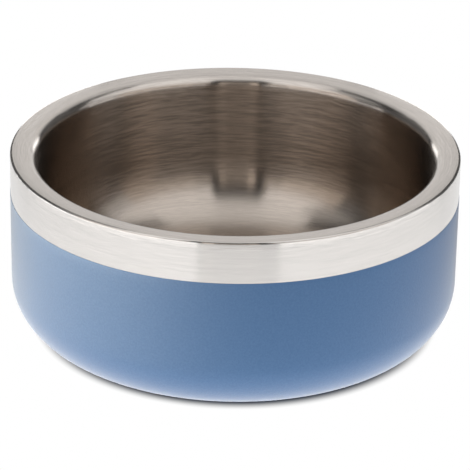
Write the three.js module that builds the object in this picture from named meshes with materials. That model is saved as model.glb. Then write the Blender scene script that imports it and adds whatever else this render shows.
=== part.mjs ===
// Double-walled steel dog bowl: a drawn liner and a drawn shell with a welded base plate, a powder coat on the
// shell and a rubber foot ring.
// Millimetres, +Z up, origin on the bowl's axis at the level of the table.

import * as THREE from 'three';

// Envelope
const OUTER_DIAMETER = 170;
const HEIGHT = 72.2;

// Sheet gauges of the steel pieces
const LINER_SHEET = 0.8;
const SHELL_SHEET = 0.8;
const PLATE_SHEET = 0.8;

// Rim: falls inwards from the outer edge to the feeding wall, with a rolled lip inside and a small edge radius outside
const RIM_WIDTH = 9.9;
const RIM_FALL = 0.9;
const LIP_RADIUS = 3.5;
const RIM_EDGE_RADIUS = 1;
const WELD_LINE_DROP = 3;

// Feeding hollow: its wall draws in by the draft on the way down from the rim to the floor
const WALL_DRAFT = 2;
const FLOOR_FILLET = 25;
const FLOOR_AIR_GAP = 9.5;

// Outer base: rounded corner and flat land round a hole, which the base plate closes from inside
const BASE_FILLET = 21;
const BASE_LAND = 5;
const PLATE_LAP = 4;

// Powder coat
const BARE_BAND = 15.9;
const COAT_THICKNESS = 0.12;

// Rubber foot ring, bonded to the base plate inside the hole
const RING_STAND = 1.1;
const RING_WIDTH = 10;
const RING_EDGE_RADIUS = 0.8;
const RING_CLEARANCE = 0.3;

// Facets: sides of every turned piece, and how far a chord may lie from its bend
const SIDES = 64;
const CHORD_TOLERANCE = 0.15;

// Radii from the axis and heights above the table that the pieces share
const outerRadius = OUTER_DIAMETER / 2;
const innerRadius = outerRadius - RIM_WIDTH;
const rimSlope = Math.atan2(RIM_FALL, RIM_WIDTH);
const rimCornerRise = RIM_EDGE_RADIUS * (Math.tan(rimSlope) + 1 / Math.cos(rimSlope) - 1);
const rimCornerHeight = HEIGHT + rimCornerRise;
const weldHeight = HEIGHT - WELD_LINE_DROP;
const coatTop = HEIGHT - BARE_BAND;
const landHeight = RING_STAND;
const plateHeight = landHeight + SHELL_SHEET;
const floorHeight = plateHeight + PLATE_SHEET + FLOOR_AIR_GAP + LINER_SHEET;
const holeRadius = outerRadius - BASE_FILLET - BASE_LAND;
const plateRadius = holeRadius + PLATE_LAP;

// A corner of a profile: radius from the axis, height, bend radius, and the chords that draw the bend
function corner(radius, height, bend = 0) {
  const chordAngle = bend > 0 ? 2 * Math.acos(Math.max(0, 1 - CHORD_TOLERANCE / bend)) : Math.PI;
  return { at: new THREE.Vector2(radius, height), bend, chordAngle };
}

function runDirections(outline) {
  return outline.slice(1).map((end, i) => end.at.clone().sub(outline[i].at).normalize());
}

function leftOf(direction) {
  return new THREE.Vector2(-direction.y, direction.x);
}

// The outline moved sideways to the left of its travel, with every bend kept concentric: the sheet's other face
function offsetLeft(outline, distance) {
  const runs = runDirections(outline);
  return outline.map((point, i) => {
    const before = runs[Math.max(i - 1, 0)];
    const after = runs[Math.min(i, runs.length - 1)];
    const mitre = leftOf(before).add(leftOf(after)).multiplyScalar(distance / (1 + before.dot(after)));
    const bend = point.bend > 0 ? point.bend - Math.sign(before.cross(after)) * distance : 0;
    return { ...point, at: point.at.clone().add(mitre), bend };
  });
}

// The outline's points, with each bend turned about its centre in equal steps
function bentPoints(outline) {
  const runs = runDirections(outline);
  return outline.flatMap((point, i) => {
    if (point.bend <= 0) {
      return [point.at.clone()];
    }
    const turn = Math.atan2(runs[i - 1].cross(runs[i]), runs[i - 1].dot(runs[i]));
    const tangent = point.bend * Math.tan(Math.abs(turn) / 2);
    const start = point.at.clone().addScaledVector(runs[i - 1], -tangent);
    const centre = start.clone().addScaledVector(leftOf(runs[i - 1]), Math.sign(turn) * point.bend);
    const steps = Math.ceil(Math.abs(turn) / point.chordAngle);
    return Array.from({ length: steps + 1 }, (_, k) => start.clone().rotateAround(centre, (turn * k) / steps));
  });
}

// Profile of a sheet between two faces that both run outwards from the axis: out along one, back along the other
function sheetProfile(underFace, upperFace) {
  return [...bentPoints(underFace), ...bentPoints(upperFace).reverse()];
}

// A piece turned about the bowl's axis from a profile that has its material on the left
function turnedPiece(name, profile, material) {
  const meetsAxis = profile[0].x === 0;
  const loop = meetsAxis ? profile : [...profile, profile[0].clone()];
  const geometry = new THREE.LatheGeometry(loop, SIDES);
  geometry.rotateX(Math.PI / 2);
  const mesh = new THREE.Mesh(geometry, material);
  mesh.name = name;
  return mesh;
}

// One pressing: floor, feeding wall, rolled lip, rim and the skirt that meets the shell at the weld line.
// The edge radius takes the sloping rim's sharp outer corner down to the overall height.
function innerBowl() {
  const wetFace = [
    corner(0, floorHeight),
    corner(innerRadius - WALL_DRAFT, floorHeight, FLOOR_FILLET),
    corner(innerRadius, rimCornerHeight - RIM_FALL, LIP_RADIUS),
    corner(outerRadius, rimCornerHeight, RIM_EDGE_RADIUS),
    corner(outerRadius, weldHeight),
  ];
  const dryFace = offsetLeft(wetFace, -LINER_SHEET);
  const steel = new THREE.MeshStandardMaterial({ color: 0xbdb7b0, roughness: 0.32, metalness: 1 });
  return turnedPiece('inner_bowl', sheetProfile(dryFace, wetFace), steel);
}

// One pressing: flat land round the base hole, rounded corner and straight wall
function outerShell() {
  const outerFace = [
    corner(holeRadius, landHeight),
    corner(outerRadius, landHeight, BASE_FILLET),
    corner(outerRadius, weldHeight),
  ];
  const innerFace = offsetLeft(outerFace, SHELL_SHEET);
  const steel = new THREE.MeshStandardMaterial({ color: 0xc9c5c1, roughness: 0.3, metalness: 1 });
  return turnedPiece('outer_shell', sheetProfile(outerFace, innerFace), steel);
}

// A disc lapped over the land from inside and seam welded there
function basePlate() {
  const section = [
    corner(0, plateHeight),
    corner(plateRadius, plateHeight),
    corner(plateRadius, plateHeight + PLATE_SHEET),
    corner(0, plateHeight + PLATE_SHEET),
  ];
  const steel = new THREE.MeshStandardMaterial({ color: 0xb4b1ad, roughness: 0.4, metalness: 1 });
  return turnedPiece('base_plate', bentPoints(section), steel);
}

// A skin on the shell's outer face, from the edge of the base hole round the corner and up to the bare band
function powderCoat() {
  const shellFace = [
    corner(holeRadius, landHeight),
    corner(outerRadius, landHeight, BASE_FILLET),
    corner(outerRadius, coatTop),
  ];
  const skinFace = offsetLeft(shellFace, -COAT_THICKNESS);
  const paint = new THREE.MeshStandardMaterial({ color: 0x5f83b3, roughness: 0.55, metalness: 0 });
  return turnedPiece('powder_coat', sheetProfile(skinFace, shellFace), paint);
}

// Bonded face up against the plate, clear of the hole's edge, and standing below the land
function nonSlipRing() {
  const ringOuter = holeRadius - RING_CLEARANCE;
  const ringInner = ringOuter - RING_WIDTH;
  const section = [
    corner(ringInner, plateHeight),
    corner(ringInner, 0, RING_EDGE_RADIUS),
    corner(ringOuter, 0, RING_EDGE_RADIUS),
    corner(ringOuter, plateHeight),
  ];
  const rubber = new THREE.MeshStandardMaterial({ color: 0x2b2c2e, roughness: 0.85, metalness: 0 });
  return turnedPiece('non_slip_ring', bentPoints(section), rubber);
}

const dogBowl = new THREE.Group();
dogBowl.name = 'dog_bowl';
dogBowl.add(innerBowl(), outerShell(), basePlate(), powderCoat(), nonSlipRing());

export default dogBowl;
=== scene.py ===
# %% [markdown]
# A double-walled steel dog bowl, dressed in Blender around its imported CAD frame. The CAD solids are
# faceted, so each one is turned again here with fine round bends, and gets the finish that the real piece
# has.

# %% Load the frame
from math import atan2, cos, pi, radians, sin, tan

import bmesh
import bpy
from mathutils import Matrix, Vector


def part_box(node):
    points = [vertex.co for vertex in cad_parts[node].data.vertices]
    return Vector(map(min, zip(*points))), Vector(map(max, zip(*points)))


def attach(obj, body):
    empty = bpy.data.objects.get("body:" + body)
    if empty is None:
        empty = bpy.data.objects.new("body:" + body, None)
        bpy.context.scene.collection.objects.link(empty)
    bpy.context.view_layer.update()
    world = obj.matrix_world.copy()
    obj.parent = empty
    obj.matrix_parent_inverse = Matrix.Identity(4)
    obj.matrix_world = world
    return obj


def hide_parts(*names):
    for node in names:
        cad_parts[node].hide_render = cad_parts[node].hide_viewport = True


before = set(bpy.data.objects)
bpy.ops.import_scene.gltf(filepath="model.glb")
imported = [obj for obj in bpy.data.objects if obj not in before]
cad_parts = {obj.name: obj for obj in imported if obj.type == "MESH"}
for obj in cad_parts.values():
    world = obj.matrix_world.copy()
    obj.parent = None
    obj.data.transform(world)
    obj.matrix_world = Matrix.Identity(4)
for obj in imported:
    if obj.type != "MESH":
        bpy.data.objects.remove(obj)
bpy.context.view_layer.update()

print("CAD nodes", len(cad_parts))

# %% [markdown]
# The camera comes first, because everything is judged through it. It could be aimed by eye, but then
# every ellipse of the bowl would be a little wrong. So its distance, height, tilt, roll and lens were
# fitted to the rim, the coat line and the base edge, and the bowl falls where the photograph has it. A
# long lens from over a metre away keeps the ellipses calm. Lengths are in metres, and MM turns
# millimetres into them.

# %% Camera
MM = 0.001
CAMERA_DISTANCE = 1.1089
CAMERA_ASIDE = 0.35 * MM
CAMERA_ELEVATION = radians(26.30)
CAMERA_PITCH = radians(24.59)
CAMERA_ROLL = radians(0.92)
CAMERA_LENS = 218.71
CAMERA_SENSOR = 36

camera = bpy.data.objects.new("camera", bpy.data.cameras.new("camera"))
camera.data.lens = CAMERA_LENS
camera.data.sensor_width = CAMERA_SENSOR
stand_back = Vector((0, -cos(CAMERA_ELEVATION), sin(CAMERA_ELEVATION))) * CAMERA_DISTANCE
stand_back.x += CAMERA_ASIDE
look_down = Matrix.Rotation(pi / 2 - CAMERA_PITCH, 4, "X")
roll = Matrix.Rotation(CAMERA_ROLL, 4, "Z")
camera.matrix_world = Matrix.Translation(stand_back) @ look_down @ roll
bpy.context.scene.collection.objects.link(camera)
bpy.context.scene.camera = camera
bpy.context.scene.view_settings.view_transform = "Standard"
print("camera at", [round(x, 3) for x in stand_back])

# %% [markdown]
# Shader maths reads best as plain expressions. Math nodes could be added and linked one by one, but then
# a short formula fills a page. So one small class wraps a socket and lets Python's operators add the Math
# nodes, with a plain number on either side.

# %% Numbers on a surface
class Value:
    """A number on the surface: an output socket that takes part in Python expressions."""

    def __init__(self, finish, socket):
        self.finish = finish
        self.socket = socket

    def math(self, operation, first, second):
        return self.finish.add("ShaderNodeMath", {"operation": operation}, {0: first, 1: second})

    def __add__(self, other):
        return self.math("ADD", self, other)

    def __mul__(self, other):
        return self.math("MULTIPLY", self, other)

    def __sub__(self, other):
        return self.math("SUBTRACT", self, other)

    def __rsub__(self, other):
        return self.math("SUBTRACT", other, self)

    def __truediv__(self, other):
        return self.math("DIVIDE", self, other)

    def __rtruediv__(self, other):
        return self.math("DIVIDE", other, self)

    def __pow__(self, other):
        return self.math("POWER", self, other)

    def __rpow__(self, other):
        return self.math("POWER", other, self)

    __radd__ = __add__
    __rmul__ = __mul__


# %% [markdown]
# Every other node comes from one method of the node graph. It sets the node's settings first, because
# some of them change which sockets the node shows, and then the sockets: a Value is linked, and anything
# else is set. Sockets that share a name, as on Math, Mix and Mix Shader nodes, go by their numbers.

# %% Node graphs
MIX_SHARE = 0
MIX_FIRST_COLOUR = 6
MIX_SECOND_COLOUR = 7
MIX_COLOUR_RESULT = 2


class Finish:
    """The node graph of one material or of the world."""

    def __init__(self, owner):
        owner.use_nodes = True
        self.owner = owner
        self.tree = owner.node_tree
        self.tree.nodes.clear()

    def add(self, kind, settings=None, sockets=None, output=0):
        node = self.tree.nodes.new(kind)
        for name, setting in (settings or {}).items():
            if name == "stops":
                self.set_stops(node.color_ramp, setting)
            else:
                setattr(node, name, setting)
        for name, value in (sockets or {}).items():
            if isinstance(value, Value):
                self.tree.links.new(value.socket, node.inputs[name])
            else:
                node.inputs[name].default_value = value
        return Value(self, node.outputs[output]) if node.outputs else node

    @staticmethod
    def set_stops(ramp, stops):
        while len(ramp.elements) < len(stops):
            ramp.elements.new(1)
        for element, (place, colour) in zip(ramp.elements, stops):
            element.position = place
            element.color = colour

    def place(self):
        """Object coordinates as one vector."""
        return self.add("ShaderNodeTexCoord", output="Object")

    def axes(self):
        """Object coordinates as three numbers."""
        place = self.place()
        return [self.add("ShaderNodeSeparateXYZ", sockets={"Vector": place}, output=i) for i in range(3)]

    def ramp(self, value, start, end):
        """A smooth climb from 0 at start to 1 at end."""
        sockets = {"Value": value, "From Min": start, "From Max": end}
        return self.add("ShaderNodeMapRange", {"interpolation_type": "SMOOTHSTEP"}, sockets)

    def mix(self, blend, share, first, second):
        """Two colours blended."""
        settings = {"data_type": "RGBA", "blend_type": blend}
        sockets = {MIX_SHARE: share, MIX_FIRST_COLOUR: first, MIX_SECOND_COLOUR: second}
        return self.add("ShaderNodeMix", settings, sockets, output=MIX_COLOUR_RESULT)

    def mix_shaders(self, share, first, second):
        """Two shaders blended: the first where share is 0, the second where it is 1."""
        return self.add("ShaderNodeMixShader", sockets={0: share, 1: first, 2: second})

    def noise(self, per_metre, detail):
        """Even noise in space."""
        return self.add("ShaderNodeTexNoise", sockets={
            "Vector": self.place(),
            "Scale": per_metre,
            "Detail": detail,
        })

    def bump(self, height, depth):
        """The shading of a relief that is depth metres deep."""
        return self.add("ShaderNodeBump", sockets={"Strength": 1.0, "Distance": depth, "Height": height})

    def surface(self, shader):
        """Connects the last shader and gives back the material or world."""
        is_world = isinstance(self.owner, bpy.types.World)
        kind = "ShaderNodeOutputWorld" if is_world else "ShaderNodeOutputMaterial"
        self.add(kind, sockets={"Surface": shader})
        return self.owner


# %% [markdown]
# Brushed steel is scratched all the way round by a belt while the piece turns. The scratches are far too
# fine to model, and a picture of them would show a seam. So a four-dimensional noise draws them: it
# changes fast across the scratches, along the radius and the height, and slowly round the circle, where
# the cosine and sine of the angle leave no seam. A coarse and a fine set are laid over each other.

# %% Scratches
COARSE_PER_METRE = 1900
COARSE_CIRCLE = 5
FINE_PER_METRE = 3400
FINE_CIRCLE = 18
SCRATCH_DETAIL = 2.0


def scratch_noise(finish, x, y, z, radius, per_metre, circle):
    """Noise in rings. The circle that they follow is given by its radius in the noise's own steps."""
    across = finish.add("ShaderNodeCombineXYZ", sockets={
        "X": radius * per_metre,
        "Y": z * per_metre,
        "Z": x / radius * circle,
    })
    return finish.add("ShaderNodeTexNoise", {"noise_dimensions": "4D"}, {
        "Vector": across,
        "W": y / radius * circle,
        "Scale": 1.0,
        "Detail": SCRATCH_DETAIL,
    })


widths = [round(1 / per_metre / MM, 2) for per_metre in (COARSE_PER_METRE, FINE_PER_METRE)]
print("scratches about", widths, "mm apart")

# %% [markdown]
# The scratches also spread reflections across themselves, which the shader's anisotropy gives: its own
# tangent runs round the Z axis, so a quarter turn lays the spread across the scratches. Inside the hollow
# the steel mirrors itself again and again and warms the light at every bounce, so below the lip a darker,
# browner painted shade is laid into the steel's colour, and the scratches show most on the wall. The skirt
# outside the rim takes the tint of the band below it, because the two are brushed together after they are
# welded. One function makes all three steels, so they stay alike.

# %% Brushed steel
QUARTER_TURN = 0.25
# Depths below the rim top where the hollow's painted shade fades out, and where it is full.
PAINTED_SHADE_GONE_DEPTH = 1.2 * MM
PAINTED_SHADE_FULL_DEPTH = 6.2 * MM
SKIRT_TINT_START = 0.9 * MM
SKIRT_TINT_END = 0.1 * MM
WALL_GRAIN_START = 9.8 * MM
WALL_GRAIN_FULL = 29.8 * MM
SCRATCH_DARKEST = 0.38
SCRATCH_LIGHTEST = 0.62
SCRATCH_DEPTH = 0.001 * MM
STEEL_ROUGHNESS_SWING = 0.08

liner_low, liner_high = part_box("inner_bowl")
shell_low, shell_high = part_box("outer_shell")
outer_radius = shell_high.x


def brushed_steel(name, rim, hollow_painted_shade, band, roughness, spread, wall_contrast, plain_contrast):
    finish = Finish(bpy.data.materials.new(name))
    x, y, z = finish.axes()
    radius = (x * x + y * y) ** 0.5
    coarse = scratch_noise(finish, x, y, z, radius, COARSE_PER_METRE, COARSE_CIRCLE)
    fine = scratch_noise(finish, x, y, z, radius, FINE_PER_METRE, FINE_CIRCLE)
    scratches = coarse * 0.5 + fine * 0.5
    # Painted shade: below the lip the steel's colour turns darker and browner, fading out towards the rim.
    above_painted_shade = finish.ramp(z, liner_high.z - PAINTED_SHADE_FULL_DEPTH, liner_high.z - PAINTED_SHADE_GONE_DEPTH)
    outside = finish.ramp(radius, outer_radius - SKIRT_TINT_START, outer_radius - SKIRT_TINT_END)
    inside = finish.mix("MIX", above_painted_shade, (*hollow_painted_shade, 1), (*rim, 1))
    plain = finish.mix("MIX", outside, inside, (*band, 1))
    on_wall = finish.ramp(z, liner_low.z + WALL_GRAIN_START, liner_low.z + WALL_GRAIN_FULL) - above_painted_shade
    contrast = on_wall * (wall_contrast - plain_contrast) + plain_contrast
    grey = (finish.ramp(scratches, SCRATCH_DARKEST, SCRATCH_LIGHTEST) - 0.5) * contrast + 1
    shader = finish.add("ShaderNodeBsdfPrincipled", sockets={
        "Base Color": finish.mix("MULTIPLY", 1.0, plain, grey),
        "Metallic": 1.0,
        "Roughness": scratches * STEEL_ROUGHNESS_SWING + (roughness - STEEL_ROUGHNESS_SWING / 2),
        "Anisotropic": spread,
        "Anisotropic Rotation": QUARTER_TURN,
        "Normal": finish.bump(scratches, SCRATCH_DEPTH),
    })
    return finish.surface(shader)


RIM_TINT = (0.59, 0.545, 0.505)
# The hollow's painted shade: a darker, browner steel colour below the lip.
HOLLOW_PAINTED_SHADE = (0.475, 0.42, 0.372)
BAND_TINT = (0.63, 0.607, 0.587)
liner_steel = brushed_steel("liner_steel", RIM_TINT, HOLLOW_PAINTED_SHADE, BAND_TINT,
                            roughness=0.2, spread=1.0, wall_contrast=0.4, plain_contrast=0.12)
shell_steel = brushed_steel("shell_steel", BAND_TINT, BAND_TINT, BAND_TINT,
                            roughness=0.2, spread=1.0, wall_contrast=0.05, plain_contrast=0.05)
plate_steel = brushed_steel("plate_steel", BAND_TINT, BAND_TINT, BAND_TINT,
                            roughness=0.3, spread=0.8, wall_contrast=0.1, plain_contrast=0.1)
print("steels", liner_steel.name, shell_steel.name, plate_steel.name)

# %% [markdown]
# Powder coat is sprayed on dry and melted in an oven, so it flows into a fine pebbled skin. Moving the
# mesh for every pebble would take millions of faces, so two sizes of noise give the pebbles as bump, and
# mottle the blue a little. A little sheen pales the skin where it is seen edge on, because the pebbles
# there stand in the light.

# %% Powder coat
PEBBLES_PER_METRE = 1400.0
GRAINS_PER_METRE = 3600.0
COAT_DETAIL = 1.0
PEBBLE_SHARE = 0.7
PEBBLE_DEPTH = 0.06 * MM
COAT_BLUES = [(0.35, (0.043, 0.136, 0.31, 1)), (0.65, (0.059, 0.16, 0.345, 1))]
COAT_LEAST_ROUGHNESS = 0.5
COAT_ROUGHNESS_SWING = 0.16
COAT_SHEEN = 0.42
COAT_SHEEN_ROUGHNESS = 0.45
COAT_SHEEN_TINT = (1, 0.85, 0.6, 1)


def powder_coat_finish():
    finish = Finish(bpy.data.materials.new("blue_powder_coat"))
    pebbles = finish.noise(PEBBLES_PER_METRE, COAT_DETAIL)
    grains = finish.noise(GRAINS_PER_METRE, COAT_DETAIL)
    skin = pebbles * PEBBLE_SHARE + grains * (1 - PEBBLE_SHARE)
    shader = finish.add("ShaderNodeBsdfPrincipled", sockets={
        "Base Color": finish.add("ShaderNodeValToRGB", {"stops": COAT_BLUES}, {"Fac": skin}),
        "Roughness": skin * COAT_ROUGHNESS_SWING + COAT_LEAST_ROUGHNESS,
        "Sheen Weight": COAT_SHEEN,
        "Sheen Roughness": COAT_SHEEN_ROUGHNESS,
        "Sheen Tint": COAT_SHEEN_TINT,
        "Normal": finish.bump(skin, PEBBLE_DEPTH),
    })
    return finish.surface(shader)


blue_powder_coat = powder_coat_finish()
print("coat", blue_powder_coat.name)

# %% [markdown]
# The foot ring is matt black rubber, moulded with a fine grain. It is made as the coat is, with one finer
# noise and no sheen, because rubber scatters light instead of shining at its edges.

# %% Foot rubber
RUBBER_GRAINS_PER_METRE = 2500.0
RUBBER_DETAIL = 2.0
RUBBER_GRAIN_DEPTH = 0.02 * MM
RUBBER_BLACKS = [(0.3, (0.016, 0.016, 0.018, 1)), (0.7, (0.032, 0.032, 0.034, 1))]
RUBBER_LEAST_ROUGHNESS = 0.65
RUBBER_ROUGHNESS_SWING = 0.2


def rubber_finish():
    finish = Finish(bpy.data.materials.new("foot_rubber"))
    grain = finish.noise(RUBBER_GRAINS_PER_METRE, RUBBER_DETAIL)
    shader = finish.add("ShaderNodeBsdfPrincipled", sockets={
        "Base Color": finish.add("ShaderNodeValToRGB", {"stops": RUBBER_BLACKS}, {"Fac": grain}),
        "Roughness": grain * RUBBER_ROUGHNESS_SWING + RUBBER_LEAST_ROUGHNESS,
        "Normal": finish.bump(grain, RUBBER_GRAIN_DEPTH),
    })
    return finish.surface(shader)


foot_rubber = rubber_finish()
print("rubber", foot_rubber.name)

# %% [markdown]
# Every piece of the bowl is round, so each is a section turned about the axis. The faceted CAD solid
# could be smoothed instead, but its bends would wander. A section starts as a few corner points, a vertex
# bevel rounds each corner to its bend radius, long straight runs are cut into short ones so that shading
# stays true beside the bends, and a full spin makes the solid.

# %% Turning helper
TURN_STEPS = 256
BEND_STEPS_PER_MM = 1.2
FEWEST_BEND_STEPS = 4
MOST_BEND_STEPS = 28
RUN_LENGTH = 4 * MM
MERGE_DISTANCE = 0.0005 * MM
SHARP_EDGE = radians(35)


def turned_mesh(name, corners, on_axis):
    """A solid of revolution. A corner is its radius, its height and its bend radius."""
    shape = bmesh.new()
    points = [shape.verts.new((radius, 0, height)) for radius, height, _ in corners]
    for pair in zip(points, points[1:]):
        shape.edges.new(pair)
    if not on_axis:
        shape.edges.new((points[-1], points[0]))
    for point, (_, _, bend) in zip(points, corners):
        if bend > 0:
            steps = min(MOST_BEND_STEPS, FEWEST_BEND_STEPS + round(bend / MM * BEND_STEPS_PER_MM))
            bmesh.ops.bevel(shape, geom=[point], offset=bend, offset_type="OFFSET", affect="VERTICES",
                            segments=steps, profile=0.5, material=-1)
    for edge in list(shape.edges):
        cuts = int(edge.calc_length() / RUN_LENGTH)
        if cuts > 0:
            bmesh.ops.subdivide_edges(shape, edges=[edge], cuts=cuts)
    bmesh.ops.spin(shape, geom=shape.verts[:] + shape.edges[:], cent=(0, 0, 0), axis=(0, 0, 1),
                   angle=2 * pi, steps=TURN_STEPS, use_merge=True)
    bmesh.ops.remove_doubles(shape, verts=shape.verts[:], dist=MERGE_DISTANCE)
    bmesh.ops.recalc_face_normals(shape, faces=shape.faces[:])
    mesh = bpy.data.meshes.new(name)
    shape.to_mesh(mesh)
    shape.free()
    mesh.shade_smooth()
    mesh.set_sharp_from_angle(angle=SHARP_EDGE)
    return mesh


def turned_piece(name, node, material, corners, on_axis):
    """A turned solid that stands for a CAD node and takes the finish that it is given."""
    mesh = turned_mesh(name, corners, on_axis)
    mesh.materials.append(material)
    piece = bpy.data.objects.new(name, mesh)
    bpy.context.scene.collection.objects.link(piece)
    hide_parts(node)
    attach(piece, "root")
    print(name, len(mesh.polygons), "faces")
    return piece


# %% [markdown]
# The liner is one pressing: floor, wall, rolled lip, a rim that falls inwards and a short skirt. Only the
# face that is seen is drawn. A Solidify modifier could add the thickness, but sheet keeps its gauge
# through a bend, so the hidden face is worked out from the drawn one: every corner moves along its mitre
# by one gauge, and its bend grows or shrinks by the same amount.

# %% Hidden face of a sheet
def hidden_face(face, gauge):
    points = [Vector((radius, height)) for radius, height, _ in face]
    runs = [(b - a).normalized() for a, b in zip(points, points[1:])]
    moved = []
    for i, (point, (_, _, bend)) in enumerate(zip(points, face)):
        before = runs[max(i - 1, 0)]
        after = runs[min(i, len(runs) - 1)]
        both = before + after
        mitre = Vector((both.y, -both.x)) * (gauge / (1 + before.dot(after)))
        grown = bend + gauge if before.cross(after) > 0 else bend - gauge
        moved.append((point.x + mitre.x, point.y + mitre.y, grown if bend > 0 else 0))
    return moved


# %% [markdown]
# The liner's radii and heights come from the CAD boxes. Its outer edge is rounded off, so it peaks a
# little below its drawn corner, and the corner is raised until the peak meets the height of the CAD node.

# %% Liner
SHEET = 0.8 * MM
RIM_WIDTH = 9.9 * MM
RIM_FALL = 0.9 * MM
RIM_EDGE_RADIUS = 1.0 * MM
LIP_RADIUS = 3.5 * MM
WALL_DRAFT = 2 * MM
FLOOR_FILLET = 25 * MM

inner_radius = outer_radius - RIM_WIDTH
floor_height = liner_low.z + SHEET
weld_height = shell_high.z
rim_slope = atan2(RIM_FALL, RIM_WIDTH)
rim_corner = liner_high.z + RIM_EDGE_RADIUS * (tan(rim_slope) + 1 / cos(rim_slope) - 1)

seen_face = [
    (0, floor_height, 0),
    (inner_radius - WALL_DRAFT, floor_height, FLOOR_FILLET),
    (inner_radius, rim_corner - RIM_FALL, LIP_RADIUS),
    (outer_radius, rim_corner, RIM_EDGE_RADIUS),
    (outer_radius, weld_height, 0),
]
turned_piece("liner", "inner_bowl", liner_steel,
             hidden_face(seen_face, SHEET) + seen_face[::-1], on_axis=True)

# %% [markdown]
# The shell is the outer pressing: flat land round a hole, large base radius and straight wall. It could
# be worked out from one face as the liner is, but with one bend its two faces are as quickly drawn.

# %% Shell
BASE_FILLET = 21 * MM
RING_CLEARANCE = 0.3 * MM

ring_low, ring_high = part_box("non_slip_ring")
hole_radius = ring_high.x + RING_CLEARANCE

turned_piece("shell", "outer_shell", shell_steel, [
    (hole_radius, shell_low.z, 0),
    (outer_radius, shell_low.z, BASE_FILLET),
    (outer_radius, weld_height, 0),
    (outer_radius - SHEET, weld_height, 0),
    (outer_radius - SHEET, shell_low.z + SHEET, BASE_FILLET - SHEET),
    (hole_radius, shell_low.z + SHEET, 0),
], on_axis=False)

# %% [markdown]
# The base plate is a plain disc that closes the shell's hole from inside, where the two are seam welded.
# It is turned like the rest, so that its brushing runs round the same axis.

# %% Base plate
plate_low, plate_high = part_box("base_plate")

turned_piece("base_disc", "base_plate", plate_steel, [
    (0, plate_low.z, 0),
    (plate_high.x, plate_low.z, 0),
    (plate_high.x, plate_high.z, 0),
    (0, plate_high.z, 0),
], on_axis=True)

# %% [markdown]
# The coat is a skin about a tenth of a millimetre thick. It could be a colour on the shell below a line,
# but as a body of its own it has the real step at its top. That edge is rounded, as melted powder draws
# itself in along the masking line.

# %% Coat
COAT_EDGE_SHARE = 0.7

coat_low, coat_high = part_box("powder_coat")
coat_thickness = coat_high.x - outer_radius
coat_edge = COAT_EDGE_SHARE * coat_thickness

coat = turned_piece("coat", "powder_coat", blue_powder_coat, [
    (hole_radius, shell_low.z, 0),
    (hole_radius, coat_low.z, coat_edge),
    (outer_radius + coat_thickness, coat_low.z, BASE_FILLET + coat_thickness),
    (outer_radius + coat_thickness, coat_high.z, coat_edge),
    (outer_radius, coat_high.z, 0),
    (outer_radius, shell_low.z, BASE_FILLET),
], on_axis=False)

# %% [markdown]
# The foot ring is bonded to the base plate inside the hole, and the bowl stands on it. A mould leaves
# soft lower edges on rubber, so those two corners have a bend and the bonded ones stay square.

# %% Foot ring
RING_WIDTH = 10 * MM
RING_EDGE_RADIUS = 0.8 * MM

turned_piece("foot_ring", "non_slip_ring", foot_rubber, [
    (ring_high.x - RING_WIDTH, ring_high.z, 0),
    (ring_high.x - RING_WIDTH, ring_low.z, RING_EDGE_RADIUS),
    (ring_high.x, ring_low.z, RING_EDGE_RADIUS),
    (ring_high.x, ring_high.z, 0),
], on_axis=False)

# %% [markdown]
# The table is a sheet of white paper. The camera sees it clean white, except inside a circle that is set
# back a little behind the bowl and a touch to the right. There it sees the paper's own shading under the
# bowl on a paper painted dark grey, so the soft shadow there is partly real and partly painted. In the
# bowl's mirrors the paper glows, and most of all in a pool of light close to the bowl, which whitens the
# coat's foot and the band. Real lamps could light such a pool, but they would also wash out the coat, so
# the paper glows by itself.

# %% Table
TABLE_RADIUS = 0.8
TABLE_SEGMENTS = 96
TABLE_GLOW = 0.6
TABLE_MIRRORED = 1.05
# Painted shadow: the dark grey of the paper inside the shadow circle.
PAINTED_SHADOW_GREY = (0.12, 0.12, 0.12, 1)
PAPER_WHITE = (1, 1, 1, 1)
POOL_GAIN = 3
POOL_REACH = 80 * MM
SHADOW_ASIDE = 0.6 * MM
SHADOW_SET_BACK = 5.3 * MM
SHADOW_INSET = 12.5 * MM
SHADOW_BLUR = 6.8 * MM


def table_paper():
    finish = Finish(bpy.data.materials.new("paper_with_painted_shadow"))
    seen = finish.add("ShaderNodeLightPath", output="Is Camera Ray")
    mirrored = finish.add("ShaderNodeLightPath", output="Is Glossy Ray")
    x, y, _ = finish.axes()
    radius = (x * x + y * y) ** 0.5
    pool = finish.ramp(radius, outer_radius + POOL_REACH, outer_radius) * POOL_GAIN + 1
    light = mirrored * (pool * TABLE_MIRRORED - TABLE_GLOW) + TABLE_GLOW
    glow = finish.add("ShaderNodeEmission", sockets={"Color": light, "Strength": 1.0})
    beside = x - SHADOW_ASIDE
    behind = y - SHADOW_SET_BACK
    shadow_full = outer_radius - SHADOW_INSET
    from_middle = (beside * beside + behind * behind) ** 0.5
    beyond = finish.ramp(from_middle, shadow_full, shadow_full + SHADOW_BLUR)
    # Painted shadow: inside the circle the camera sees real shading on paper painted dark grey; outside,
    # clean white.
    shaded = finish.add("ShaderNodeBsdfDiffuse", sockets={"Color": PAINTED_SHADOW_GREY})
    clean = finish.add("ShaderNodeEmission", sockets={"Color": PAPER_WHITE, "Strength": 1.0})
    for_camera = finish.mix_shaders(beyond, shaded, clean)
    paper = finish.mix_shaders(seen, glow, for_camera)
    return finish.surface(paper)


def table_top():
    shape = bmesh.new()
    bmesh.ops.create_circle(shape, cap_ends=True, segments=TABLE_SEGMENTS, radius=TABLE_RADIUS)
    mesh = bpy.data.meshes.new("table_top")
    shape.to_mesh(mesh)
    shape.free()
    mesh.materials.append(table_paper())
    table = bpy.data.objects.new("table_top", mesh)
    bpy.context.scene.collection.objects.link(table)
    print("table", round(2 * TABLE_RADIUS, 2), "m across")


table_top()

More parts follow.
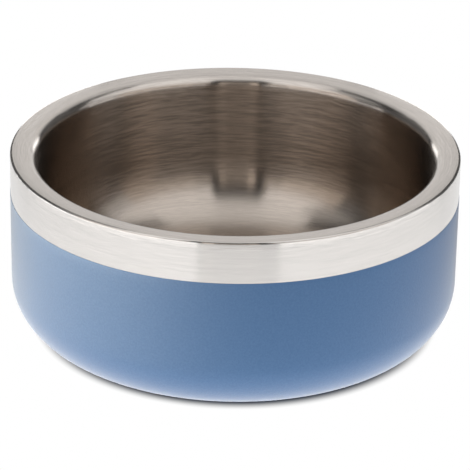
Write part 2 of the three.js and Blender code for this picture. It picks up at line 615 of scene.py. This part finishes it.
# %% [markdown]
# Behind everything lies the world. The camera sees it white, like the paper, but the bowl must not mirror
# an even white all round, or its steel would look like chalk. So for every other ray the world is black.

# %% World
WORLD_WHITE = (1, 1, 1, 1)
WORLD_BLACK = (0, 0, 0, 1)


def studio_world():
    world = bpy.data.worlds.new("studio")
    bpy.context.scene.world = world
    finish = Finish(world)
    seen = finish.add("ShaderNodeLightPath", output="Is Camera Ray")
    dark = finish.add("ShaderNodeBackground", sockets={"Color": WORLD_BLACK, "Strength": 1.0})
    for_camera = finish.add("ShaderNodeBackground", sockets={"Color": WORLD_WHITE, "Strength": 1.0})
    finish.surface(finish.mix_shaders(seen, dark, for_camera))
    print("world", world.name)


studio_world()

# %% [markdown]
# One flat lamp on the left lays a soft veil over the coat's gloss. A wall there would brighten the steel
# too, so the lamp is linked to the coat alone and adds no diffuse light.

# %% Coat lamp
LAMP_DISTANCE = 0.3
LAMP_TINT = (1, 0.88, 0.65)


def coat_lamp(name, azimuth, elevation, wide, high, radiance):
    """A flat lamp that only the coat's gloss can see."""
    lamp = bpy.data.lights.new(name, "AREA")
    lamp.shape = "RECTANGLE"
    lamp.size = wide
    lamp.size_y = high
    lamp.energy = radiance * pi * wide * high
    lamp.color = LAMP_TINT
    light = bpy.data.objects.new(name, lamp)
    turn = Matrix.Rotation(radians(azimuth), 4, "Z") @ Matrix.Rotation(pi / 2 - radians(elevation), 4, "X")
    light.matrix_world = turn @ Matrix.Translation((0, 0, LAMP_DISTANCE))
    light.visible_camera = False
    light.visible_diffuse = False
    bpy.context.scene.collection.objects.link(light)
    reach = bpy.data.collections.new(name)
    reach.objects.link(coat)
    light.light_linking.receiver_collection = reach
    print(name, "at", [round(x, 2) for x in light.matrix_world.translation])


coat_lamp("coat_veil", azimuth=-75, elevation=18, wide=0.7, high=0.2, radiance=12)

# %% [markdown]
# Brushed metal is drawn by what it mirrors, so the other lights are a tent of large soft walls, curved
# round the bowl: bright low down and overhead, dim and warm between. Flat lamps could stand there, but
# they leave gaps that the steel would show, while sheets of one sphere can meet edge to edge. A dim warm
# card in front is mirrored as the darker panel in the middle of the band and of the hollow, and the dark
# rear corners blacken the hollow's two ends. Azimuths count from the camera's side, to the right.

# %% Soft wall helper
STUDIO_RADIUS = 0.45
WALL_STEP = radians(5)
FEWEST_WALL_STEPS = 2
WALL_MERGE_DISTANCE = 0.01 * MM
WHITE = (1, 1, 1)
BROWN = (1.14, 1, 0.88)


def wall_mesh(name, start, end, low, high):
    """A patch of a sphere: a corner is spun up into an edge, and the edge is spun round the axis."""
    shape = bmesh.new()
    turn = Matrix.Rotation(start, 3, "Z")
    corner = turn @ Vector((0, -cos(low), sin(low))) * STUDIO_RADIUS
    rise_steps = max(FEWEST_WALL_STEPS, round((high - low) / WALL_STEP))
    bmesh.ops.spin(shape, geom=[shape.verts.new(corner)], cent=(0, 0, 0), axis=turn @ Vector((-1, 0, 0)),
                   angle=high - low, steps=rise_steps)
    round_steps = max(FEWEST_WALL_STEPS, round(abs(end - start) / WALL_STEP))
    bmesh.ops.spin(shape, geom=shape.verts[:] + shape.edges[:], cent=(0, 0, 0), axis=(0, 0, 1),
                   angle=end - start, steps=round_steps)
    bmesh.ops.remove_doubles(shape, verts=shape.verts[:], dist=WALL_MERGE_DISTANCE)
    mesh = bpy.data.meshes.new(name)
    shape.to_mesh(mesh)
    shape.free()
    return mesh


def soft_wall(name, azimuths, elevations, radiance, tint=WHITE):
    """A glowing sheet that the camera does not see."""
    mesh = wall_mesh(name, *(radians(angle) for angle in (*azimuths, *elevations)))
    finish = Finish(bpy.data.materials.new(name))
    glow = finish.add("ShaderNodeEmission", sockets={"Color": (*tint, 1), "Strength": radiance})
    mesh.materials.append(finish.surface(glow))
    wall = bpy.data.objects.new(name, mesh)
    wall.visible_camera = False
    bpy.context.scene.collection.objects.link(wall)
    first, last = ([round(x, 2) for x in mesh.vertices[i].co] for i in (0, -1))
    print(name, "from", first, "to", last)


# %% Walls on the left
LOW = (0, 8)
WAIST = (8, 18)
MIDDLE = (18, 44)
HIGH = (44, 66)

soft_wall("left_low", (-15.5, -128), LOW, 3.0)
soft_wall("left_waist", (-16, -100), WAIST, 1.6)
soft_wall("left_middle", (-33, -80), MIDDLE, 0.68, BROWN)
soft_wall("left_middle_inner", (-20, -33), MIDDLE, 0.44, BROWN)
soft_wall("left_middle_outer", (-80, -110), MIDDLE, 0.15)
soft_wall("left_high", (-26, -77), HIGH, 1.25)
soft_wall("left_high_outer", (-77, -115), HIGH, 0.55)

# %% Walls on the right
soft_wall("right_low", (20, 125), LOW, 2.35)
soft_wall("right_waist", (19, 100), WAIST, 1.3)
soft_wall("right_middle", (28, 80), MIDDLE, 0.53, BROWN)
soft_wall("right_middle_inner", (16, 28), MIDDLE, 0.35, BROWN)
soft_wall("right_middle_outer", (80, 110), MIDDLE, 0.6)
soft_wall("right_high", (19, 120), HIGH, 1.2)

# %% Strip and card in front
CARD = (8, 42)

soft_wall("front_strip", (-15.5, 20), LOW, 0.42)
soft_wall("front_card", (-9, 6), CARD, 0.32, BROWN)
soft_wall("front_card_left", (-14, -9), CARD, 0.85, BROWN)
soft_wall("front_card_right", (6, 11), CARD, 0.5, BROWN)

# %% Walls behind
REAR_FOOT = (0, 18)
REAR_SIDE_FOOT = (0, 22)
REAR_SIDE_MIDDLE = (22, 44)
REAR_CORNER = (0, 44)

soft_wall("rear_low", (168, 192), REAR_FOOT, 1.0)
soft_wall("rear_low_left", (-156, -168), REAR_SIDE_FOOT, 2.3)
soft_wall("rear_low_right", (156, 168), REAR_SIDE_FOOT, 2.5)
soft_wall("rear_middle", (171, 189), MIDDLE, 0.88)
soft_wall("rear_middle_left", (-158, -171), REAR_SIDE_MIDDLE, 0.88)
soft_wall("rear_middle_right", (158, 171), REAR_SIDE_MIDDLE, 0.88)
soft_wall("rear_high", (150, 210), HIGH, 0.75)
soft_wall("rear_left", (-110, -150), REAR_CORNER, 0.12)
soft_wall("rear_right", (110, 150), REAR_CORNER, 0.1)

# %% Ceiling
OVERHEAD = (66, 90)

soft_wall("ceiling_front", (-45, 45), OVERHEAD, 1.0)
soft_wall("ceiling_left", (-45, -135), OVERHEAD, 1.15)
soft_wall("ceiling_right", (45, 135), OVERHEAD, 1.12)
soft_wall("ceiling_rear", (135, 225), OVERHEAD, 0.95)
